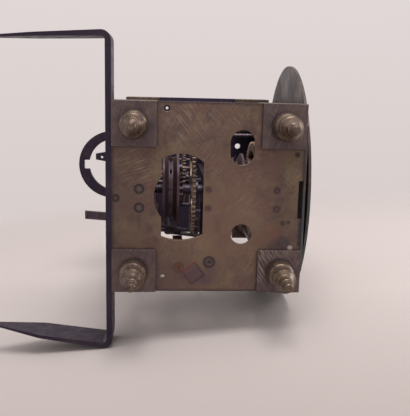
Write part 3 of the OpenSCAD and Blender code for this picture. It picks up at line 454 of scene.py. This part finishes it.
def forged_iron(name, base, pale, marks=(), metallic=0.4, rough_low=0.36, rough_high=0.6):
    """Wrought iron under old black paint: hammer marks about 8 mm across, brown-purple
    where the paint has thinned, a dull shine on the arrises."""
    material, tree, coords = new_material(name)
    hammered = cloudy(tree, coords, 8, 0.3, 0.7, detail=2.0, seed=0.4)
    rounded, rubbed = worn_edges(tree, 0.4)
    colour = layered(
        tree,
        linear(base),
        (
            (hammered, pale, 0.45),
            (cloudy(tree, coords, 25, 0.48, 0.7, seed=1.9), "#40333a", 0.5),
            (cloudy(tree, coords, 1.6, 0.64, 0.74, detail=1.0, seed=2.9), "#120f14", 0.5),
            (rubbed, "#6b6066", 0.30),
        ),
    )
    colour = spots(tree, coords, colour, marks)
    rough = add(
        tree, "MapRange", {"Value": hammered, "To Min": rough_low, "To Max": rough_high}
    ).outputs[0]
    finish_metal(tree, colour, metallic, rough, hammered, 0.12, rounded)
    return material


def plain_steel(name, base, dark, roughness, marks=()):
    """Filed steel with a little rust: dark grey, brighter along the file lines."""
    material, tree, coords = new_material(name)
    lines = hairlines(tree, coords, 12, 0.5, 9, 0.4, 0.65, seed=0.5)
    rust = cloudy(tree, coords, 4, 0.52, 0.7, seed=1.3)
    first = add(tree, "MixRGB", {"Fac": rust, "Color1": linear(base), "Color2": linear(dark)})
    shared = add(tree, "Math", {0: lines, 1: 0.25}, operation="MULTIPLY")
    second = add(
        tree,
        "MixRGB",
        {"Fac": shared.outputs[0], "Color1": first.outputs[0], "Color2": linear("#968d98")},
    )
    colour = spots(tree, coords, second.outputs[0], marks)
    finish_metal(tree, colour, 0.7, roughness, lines, 0.01)
    return material


# Stains and rings that the bottom plate shows, as seen from below. A later one covers an
# earlier one, and each is (x, y, z, radius, ring width or 0, colour, strength)
PLATE_MARKS = [
    # The middle of the plate is paler and its borders darker
    (16.0, -10.0, PLATE_FACE, 46.0, 0.0, "#785f50", 0.45),
    (0.0, 66.0, PLATE_FACE, 26.0, 0.0, "#513e3e", 0.28),
    (66.0, 30.0, PLATE_FACE, 30.0, 0.0, "#54413f", 0.32),
    (20.0, -70.0, PLATE_FACE, 26.0, 0.0, "#554242", 0.28),
    # Dark rings round the riveted ends of the three bars
    *[(x, BACK_RIVETS_Y, PLATE_FACE, 2.9, 1.4, "#2b2025", 0.9) for x in RIVETS_X],
    *[(x, MIDDLE_RIVETS_Y, PLATE_FACE, 3.6, 0.0, "#4b3739", 0.9) for x in RIVETS_X],
    *[(x, FRONT_RIVETS_Y, PLATE_FACE, 3.7, 0.0, "#2c2025", 0.75) for x in RIVETS_X],
    # Copper-red bloom round the hammer spring's screw and along the old repair
    (55.0, 15.0, PLATE_FACE, 7.0, 0.0, "#704840", 0.28),
    (58.4, 8.6, PLATE_FACE, 8.5, 0.0, "#4a3442", 0.48),
    (62.0, 0.5, PLATE_FACE, 6.0, 0.0, "#46354a", 0.38),
    (59.0, -3.0, PLATE_FACE, 9.0, 0.0, "#4c3a40", 0.38),
    # The dark ring round the hammer stop, a plug near the back border, and the dark round
    # the peg of a dial lug
    (*HAMMER_STOP, 3.6, 1.5, "#30242a", 0.85),
    (0.0, 68.2, PLATE_FACE, 4.0, 0.0, "#221a1f", 0.90),
    (0.0, 68.2, PLATE_FACE, 1.5, 0.0, "#6b4a44", 0.70),
    (-34.0, -65.3, PLATE_FACE, 2.6, 0.0, "#221a20", 0.95),
    # Verdigris, wax and a fleck of solder near the front right pad
    (33.0, -57.5, PLATE_FACE, 6.5, 0.0, "#2b2d3b", 0.55),
    (35.0, -50.0, PLATE_FACE, 6.0, 0.0, "#3a3540", 0.35),
    (25.5, -49.0, PLATE_FACE, 9.0, 0.0, "#74473c", 0.30),
    (17.8, -56.5, PLATE_FACE, 2.6, 0.0, "#2f2529", 0.7),
    (17.0, -60.8, PLATE_FACE, 1.8, 0.0, "#2f2529", 0.7),
    (36.8, -63.0, PLATE_FACE, 2.4, 0.0, "#b7aaa2", 0.8),
    # A black-green band along the front border, next to the ring
    *[(x, -71.5, PLATE_FACE, 4.0, 0.0, "#23262d", 0.9) for x in range(-12, 38, 5)],
]

# Where something hard has rubbed the bottom plate: (x, y, z, radius, direction in degrees)
PLATE_RUBS = [
    (-24.0, 52.0, PLATE_FACE, 19.0, 68.0),
    (-56.0, 17.0, PLATE_FACE, 23.0, -38.0),
    (6.0, -26.0, PLATE_FACE, 16.0, 40.0),
]

# Old sheet brass: cloudy brown, olive and reddish. The bottom plate is the one that shows
plate_brass = rolled_brass(
    "tarnished_sheet_brass_plate",
    "#644e45",
    "#685742",
    "#62423c",
    PLATE_MARKS,
    PLATE_RUBS,
    worn=0.27,
    half=PLATE_HALF,
    patch=((57.0, 10.2, PLATE_FACE), 38, 6.0),
)
# The same sheet above the trains, without the bottom plate's marks. Its underside, which lies
# deeper below its top face than the depth set next, is painted nearly black as painted shade
SHEET = ("#634e45", "#665540", "#5f433c")
SHADED_DOWN = 2.9
top_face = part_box("top_plate")[1][2] / MM
sheet_brass = rolled_brass(
    "tarnished_sheet_brass",
    *SHEET,
    half=PLATE_HALF,
    shaded_below=top_face - SHADED_DOWN,
)
# Sheet brass of small pieces, which have no border line. One dial lug's peg is seen as a
# black spot in the bottom plate
small_brass = rolled_brass(
    "tarnished_brass_strip",
    *SHEET,
    [(-34.0, -65.5, PLATE_FACE, 2.6, 0.0, "#221a20", 0.95)],
)
# Sheet brass of the dial: purple-grey with wax on its back and rim, greener at its lower
# edge, and the brown of cleaner brass on its front
dial_brass = rolled_brass(
    "waxed_dial_brass",
    "#3b2f37",
    "#3e3638",
    "#2b212c",
    [
        (20.0, -72.0, PLATE_FACE, 34.0, 0.0, "#3c4a50", 0.45),
        (46.0, -72.0, PLATE_FACE, 26.0, 0.0, "#4f6563", 0.38),
    ],
    metallic=0.1,
    worn=0.14,
    front="#5f5044",
)
# Turned and cast brass of the corner posts, smoother and duller than that of the feet and
# finials. A pad's filed finish reaches this far past its two faces
PAD_MARGIN = 0.1
CAST = ("#7f6e5c", "#49393d", "#a8967a")
post_brass = turned_brass(
    "turned_cast_brass", "#6d5d50", "#463a39", "#8a7866", ringed=0.1, dullness=0.40
)
foot_brass = turned_brass(
    "turned_cast_brass_feet",
    *CAST,
    ringed=1.0,
    dullness=0.33,
    pad_from=PLATE_FACE - PAD_THICK - PAD_MARGIN,
    pad_to=PLATE_FACE + PAD_MARGIN,
)
finial_brass = turned_brass(
    "turned_cast_brass_finials",
    *CAST,
    ringed=1.0,
    dullness=0.33,
    pad_from=top_face - PAD_MARGIN,
    pad_to=top_face + PAD_THICK + PAD_MARGIN,
)
# Wheel brass, worn paler than the plates at the teeth, with less painted shade in its corners
wheel_brass = rolled_brass(
    "filed_wheel_brass", "#9f8779", "#98836c", "#8c665a", metallic=0.42, worn=0.4, corner_shade=0.45
)
# Wrought iron of the bracket, hoop, cock and hand: purple-black, dull but for the arrises
black_iron = forged_iron("blackened_wrought_iron", "#1f1428", "#33253b")
# The rope pulleys, rubbed brown by the rope
pulley_iron = forged_iron("rope_worn_iron", "#49373f", "#634d52")
# The movement bars, with their riveted ends filed flush and seen in the bottom plate
bar_iron = forged_iron(
    "blackened_iron_bars",
    "#241b2b",
    "#392e3f",
    [
        *[(x, BACK_RIVETS_Y, PLATE_FACE, 2.4, 0.0, "#5d4d45", 1.0) for x in RIVETS_X],
        *[(x, MIDDLE_RIVETS_Y, PLATE_FACE, 3.4, 0.0, "#513a3a", 1.0) for x in RIVETS_X],
        *[(x, FRONT_RIVETS_Y, PLATE_FACE, 2.0, 0.0, "#5f4540", 0.7) for x in RIVETS_X],
    ],
)
# Filed steel of the arbors, studs, pins, screws and all that FINISHES doesn't name: grey
# with a cold glint
bright_steel = plain_steel("filed_steel", "#433a4b", "#342a38", roughness=0.44)
# Tempered steel of the levers, hammer, anchor and crutch: browner grey
dark_steel = plain_steel("tempered_dark_steel", "#483c43", "#30262e", roughness=0.45)
# The hammer spring's steel, reddened. The end of its screw shows as a red ring in the plate
screw_copper = plain_steel(
    "reddened_screw_steel",
    "#6b4640",
    "#45302f",
    roughness=0.5,
    marks=[
        (*SPRING_SCREW, 5.5, 0.0, "#5d4b42", 1.0),
        (*SPRING_SCREW, 1.9, 0.8, "#6b433b", 0.8),
        (*SPRING_SCREW, 1.0, 0.0, "#2e2226", 0.9),
    ],
)
# The hammer stop's riveted end shows as a dark ring in the plate
stop_steel = plain_steel(
    "riveted_stop_steel",
    "#4d4442",
    "#3b3030",
    roughness=0.5,
    marks=[(*HAMMER_STOP, 1.4, 0.0, "#3a2d30", 0.9)],
)

FINISHES = {
    plate_brass: ["bottom_plate"],
    sheet_brass: ["top_plate"],
    small_brass: ["fly", "dial_lugs"],
    dial_brass: ["dial_plate", "chapter_ring"],
    foot_brass: [n for n in nodes if n.startswith("foot_")],
    finial_brass: [n for n in nodes if n.startswith("finial_")],
    post_brass: [n for n in nodes if n.startswith("pillar_")],
    wheel_brass: [n for n in nodes if n.endswith("_wheel") and n != "star_wheel"],
    bar_iron: ["front_bar", "middle_bar", "back_bar"],
    pulley_iron: ["going_pulley", "strike_pulley"],
    black_iron: [
        "suspension_cock",
        "wall_bracket",
        "hanging_hoop",
        "hoop_rivets",
        "hour_hand",
    ],
    dark_steel: ["hammer", "lifting_lever", "locking_detent", "crutch", "anchor"],
    screw_copper: ["hammer_spring"],
    stop_steel: ["hammer_stop"],
}
finish_of = {n: material for material, names in FINISHES.items() for n in names}
for name, piece in nodes.items():
    wanted = finish_of.get(name, bright_steel)
    piece.data.materials.clear()
    piece.data.materials.append(wanted)

# The camera of the photograph, fitted to the plates' corners: its place, axes and lens
CAMERA_AT = (-0.07958, 0.03273, -0.40883)
CAMERA_RIGHT = Vector((-0.02348, -0.99776, -0.06267))
CAMERA_DOWN = Vector((0.98222, -0.01134, -0.18741))
CAMERA_AHEAD = Vector((0.18628, -0.06595, 0.98028))
camera_data = bpy.data.cameras.new("photo_camera")
camera_data.lens = 53.945
camera_data.sensor_width = 36
camera_data.clip_start = 0.01
camera_data.clip_end = 20
camera = bpy.data.objects.new("photo_camera", camera_data)
bpy.context.scene.collection.objects.link(camera)
turn = Matrix((CAMERA_RIGHT, -CAMERA_DOWN, -CAMERA_AHEAD)).transposed()
camera.matrix_world = Matrix.Translation(CAMERA_AT) @ turn.to_4x4()
bpy.context.scene.camera = camera


# What the lamps point at, the middle of the movement
MIDDLE = (0.0, 0.02, 0.14)


def lamp(name, at, size, watts, hex_colour="#ffffff"):
    """A soft square lamp that shines on the movement's middle."""
    data = bpy.data.lights.new(name, "AREA")
    data.size = size
    data.energy = watts
    data.color = linear(hex_colour)[:3]
    made = bpy.data.objects.new(name, data)
    bpy.context.scene.collection.objects.link(made)
    made.location = at
    aim = Vector(MIDDLE) - Vector(at)
    made.rotation_euler = aim.to_track_quat("-Z", "Y").to_euler()


lamp("key_lamp", (-0.95, -0.05, -0.22), 0.5, 8.0, "#fffaf6")
lamp("top_lamp", (0.45, -0.35, 1.20), 0.8, 8.0)
lamp("front_lamp", (-0.35, -1.2, 0.35), 0.7, 6.0)
lamp("far_side_lamp", (0.95, 0.25, 0.45), 0.7, 9.0)

# The world: pale behind the object, a plain soft light on it
world = bpy.data.worlds.new("studio")
world.use_nodes = True
bpy.context.scene.world = world
sky = world.node_tree
sky.nodes.clear()
path = add(sky, "LightPath")
seen = path.outputs["Is Camera Ray"]
for ray in ("Is Glossy Ray", "Is Transmission Ray"):
    seen = add(sky, "Math", {0: seen, 1: path.outputs[ray]}, operation="MAXIMUM").outputs[0]
direction = add(sky, "TexCoord").outputs["Generated"]
across = add(sky, "SeparateXYZ", {0: direction})
slope = add(
    sky, "MapRange", {"Value": across.outputs[0], "From Min": -0.12, "From Max": 0.48}
)
backdrop = add(
    sky,
    "MixRGB",
    {"Fac": slope.outputs[0], "Color1": linear("#e0d7d6"), "Color2": linear("#d0c4bf")},
)
shown = add(sky, "Background", {"Color": backdrop.outputs[0], "Strength": 1.0})
# The soft light is stronger from -X, which is above the lying movement in the photograph
SOFT_ABOVE, SOFT_BELOW = 1.10, 0.34
above = add(
    sky,
    "MapRange",
    {
        "Value": across.outputs[0],
        "From Min": -1.0,
        "From Max": 1.0,
        "To Min": SOFT_ABOVE,
        "To Max": SOFT_BELOW,
    },
)
lit = add(sky, "Background", {"Color": linear("#f4efee"), "Strength": above.outputs[0]})
both = add(sky, "MixShader", {0: seen, 1: lit.outputs[0], 2: shown.outputs[0]})
add(sky, "OutputWorld", {"Surface": both.outputs[0]})


def sheet_of_paper(name, centre, right, up, half, fade_from, fade_to, colour, near_shade_colour):
    """A pale stage surface, clear from behind. It fades out between two distances from its
    centre, in metres, and its near side is darkened a little by painted shade."""
    bm = bmesh.new()
    bmesh.ops.create_grid(bm, x_segments=1, y_segments=1, size=half)
    facing = Vector(right).cross(Vector(up))
    place = Matrix((right, up, facing)).transposed().to_4x4()
    mesh = bpy.data.meshes.new(name)
    bm.to_mesh(mesh)
    bm.free()
    made = bpy.data.objects.new(name, mesh)
    bpy.context.scene.collection.objects.link(made)
    made.matrix_world = Matrix.Translation(centre) @ place
    material, tree, coords = new_material(name + "_paper")
    away = add(tree, "VectorMath", {0: coords}, operation="LENGTH").outputs["Value"]
    gone = add(tree, "MapRange", {"Value": away, "From Min": fade_from, "From Max": fade_to})
    behind = add(tree, "NewGeometry").outputs["Backfacing"]
    clear = add(tree, "Math", {0: gone.outputs[0], 1: behind}, operation="MAXIMUM")
    split = add(tree, "SeparateXYZ", {0: coords})
    # Painted shade: the paper darkens towards its near side, below its centre
    slope = add(
        tree, "MapRange", {"Value": split.outputs[1], "From Min": -0.40, "From Max": 0.0}
    )
    tint = add(
        tree,
        "MixRGB",
        {"Fac": slope.outputs[0], "Color1": linear(near_shade_colour), "Color2": linear(colour)},
    )
    paper = add(tree, "BsdfDiffuse", {"Color": tint.outputs[0]})
    nothing = add(tree, "BsdfTransparent")
    mixed = add(
        tree, "MixShader", {0: clear.outputs[0], 1: paper.outputs[0], 2: nothing.outputs[0]}
    )
    add(tree, "OutputMaterial", {"Surface": mixed.outputs[0]})
    mesh.materials.append(material)


# The table that the movement lies on in the photograph: it touches the bracket and the dial
TABLE_TOUCH = Vector((0.1175, 0.074, 0.0))
TABLE_RUN = (Vector((0.1016, RING_FRONT * MM, 0.0)) - TABLE_TOUCH).normalized()
TABLE_CENTRE = TABLE_TOUCH + TABLE_RUN * 0.06 + Vector((0, 0, 0.12))
sheet_of_paper(
    "table_sheet",
    TABLE_CENTRE,
    TABLE_RUN,
    (0, 0, 1),
    half=1.2,
    fade_from=0.35,
    fade_to=0.60,
    colour="#c0b8b6",
    near_shade_colour="#8b8280",
)


def dial_point(angle_deg, radius, y):
    """A point of the dial: angles run clockwise from XII, as seen from the front."""
    a = math.radians(angle_deg)
    return Vector((radius * math.sin(a), y, DIAL_CENTRE + radius * math.cos(a))) * MM


def new_piece(name, bm, body, material):
    """Makes a finished piece of a bmesh, at the origin, riding on its body."""
    bmesh.ops.remove_doubles(bm, verts=bm.verts, dist=1e-7)
    bmesh.ops.recalc_face_normals(bm, faces=bm.faces)
    mesh = bpy.data.meshes.new(name)
    bm.to_mesh(mesh)
    bm.free()
    mesh.materials.append(material)
    made = bpy.data.objects.new(name, mesh)
    bpy.context.scene.collection.objects.link(made)
    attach(made, body)


# Black engraver's wax in the dial's cuts, a little proud of the ring. It is as mottled as
# the painted iron, but it is no metal and shines less
WAX_PROUD = 0.12
wax_black = forged_iron(
    "black_engravers_wax", "#16110f", "#241c1a", metallic=0.0, rough_low=0.5, rough_high=0.7
)


def dial_stroke(bm, angle, low, high, shift_low, shift_high, width):
    """One straight stroke of a numeral, from radius low to high at an hour's angle."""
    ends = []
    for radius, shift in ((low, shift_low), (high, shift_high)):
        spoke = dial_point(angle, radius, RING_FRONT - WAX_PROUD / 2)
        side = dial_point(angle + 90, 1, 0) - dial_point(0, 0, 0)
        ends.append(spoke + side * shift)
    run = ends[1] - ends[0]
    ahead = run.normalized()
    outward = Vector((0, -1, 0))
    across = ahead.cross(outward)
    place = Matrix((across, ahead, outward)).transposed().to_4x4()
    size = Matrix.Diagonal((width * MM, run.length, WAX_PROUD * MM, 1))
    middle = Matrix.Translation((ends[0] + ends[1]) / 2)
    bmesh.ops.create_cube(bm, size=1.0, matrix=middle @ place @ size)


CIRCLE_STEPS = 120


def dial_circle(bm, radius, width):
    """One engraved circle: a small square profile spun round the dial's centre."""
    corners = ((0, 0), (width, 0), (width, -WAX_PROUD), (0, -WAX_PROUD))
    ring = [
        bm.verts.new(Vector((radius + out, RING_FRONT + front, DIAL_CENTRE)) * MM)
        for out, front in corners
    ]
    loop = [bm.edges.new((ring[i], ring[i - 1])) for i in range(4)]
    bmesh.ops.spin(
        bm,
        geom=ring + loop,
        cent=(0, 0, DIAL_CENTRE * MM),
        axis=(0, 1, 0),
        angle=2 * math.pi,
        steps=CIRCLE_STEPS,
        use_merge=True,
    )


# Hour numerals in millimetres: the strokes of each letter as (shift at the foot, shift at
# the head, width), and the room that the letter takes
STROKES = {
    "I": ([(0, 0, 2.4)], 4.2),
    "V": ([(0.4, -3.6, 2.4), (0.4, 3.9, 1.0)], 9.0),
    "X": ([(3.4, -3.4, 2.4), (-3.4, 3.4, 1.0)], 8.6),
}
NUMERALS = ["XII", "I", "II", "III", "IIII", "V", "VI", "VII", "VIII", "IX", "X", "XI"]
FOOT_R, HEAD_R = 71.5, 91.0
# The line along a numeral's feet or heads: its thickness, and how much shorter it is
SERIF, SERIF_SHORT = 0.7, 0.6
numerals = bmesh.new()
for hour, word in enumerate(NUMERALS):
    angle = hour * 30
    total = sum(STROKES[c][1] for c in word)
    cursor = -total / 2
    for letter in word:
        strokes, room = STROKES[letter]
        centre = cursor + room / 2
        for foot, head, width in strokes:
            dial_stroke(numerals, angle, FOOT_R, HEAD_R, centre + foot, centre + head, width)
        cursor += room
    for radius in (FOOT_R, HEAD_R):
        low, high = radius - SERIF / 2, radius + SERIF / 2
        dial_stroke(numerals, angle, low, high, 0, 0, total - SERIF_SHORT)
new_piece("hour_numerals", numerals, "frame", wax_black)

# Engraved circles, as (radius, width), and between the inner two the quarter marks, wider at
# the hours
CIRCLES = ((62.2, 0.4), (66.6, 0.4), (94.8, 0.4), (99.4, 0.5))
QUARTER_FROM, QUARTER_TO = 62.4, 66.6
divisions = bmesh.new()
for radius, width in CIRCLES:
    dial_circle(divisions, radius, width)
for quarter in range(48):
    width = 0.6 if quarter % 4 else 1.4
    dial_stroke(divisions, quarter * 7.5, QUARTER_FROM, QUARTER_TO, 0, 0, width)

# At each half hour a small lozenge with a line through it: radii of the line's and the
# lozenge's ends and of its widest place, half its width, and the thickness of the strokes
LINE_FROM, LOW_TIP, WIDEST, HIGH_TIP, LINE_TO = 74, 77, 81, 85, 88
LOZENGE_HALF = 2.8
LOZENGE_LINE = 0.7
for hour in range(12):
    angle = hour * 30 + 15
    dial_stroke(divisions, angle, LINE_FROM, LINE_TO, 0, 0, LOZENGE_LINE)
    for side in (-LOZENGE_HALF, LOZENGE_HALF):
        dial_stroke(divisions, angle, LOW_TIP, WIDEST, 0, side, LOZENGE_LINE)
        dial_stroke(divisions, angle, WIDEST, HIGH_TIP, side, 0, LOZENGE_LINE)
new_piece("dial_divisions", divisions, "frame", wax_black)

bpy.context.scene.view_settings.view_transform = "Standard"
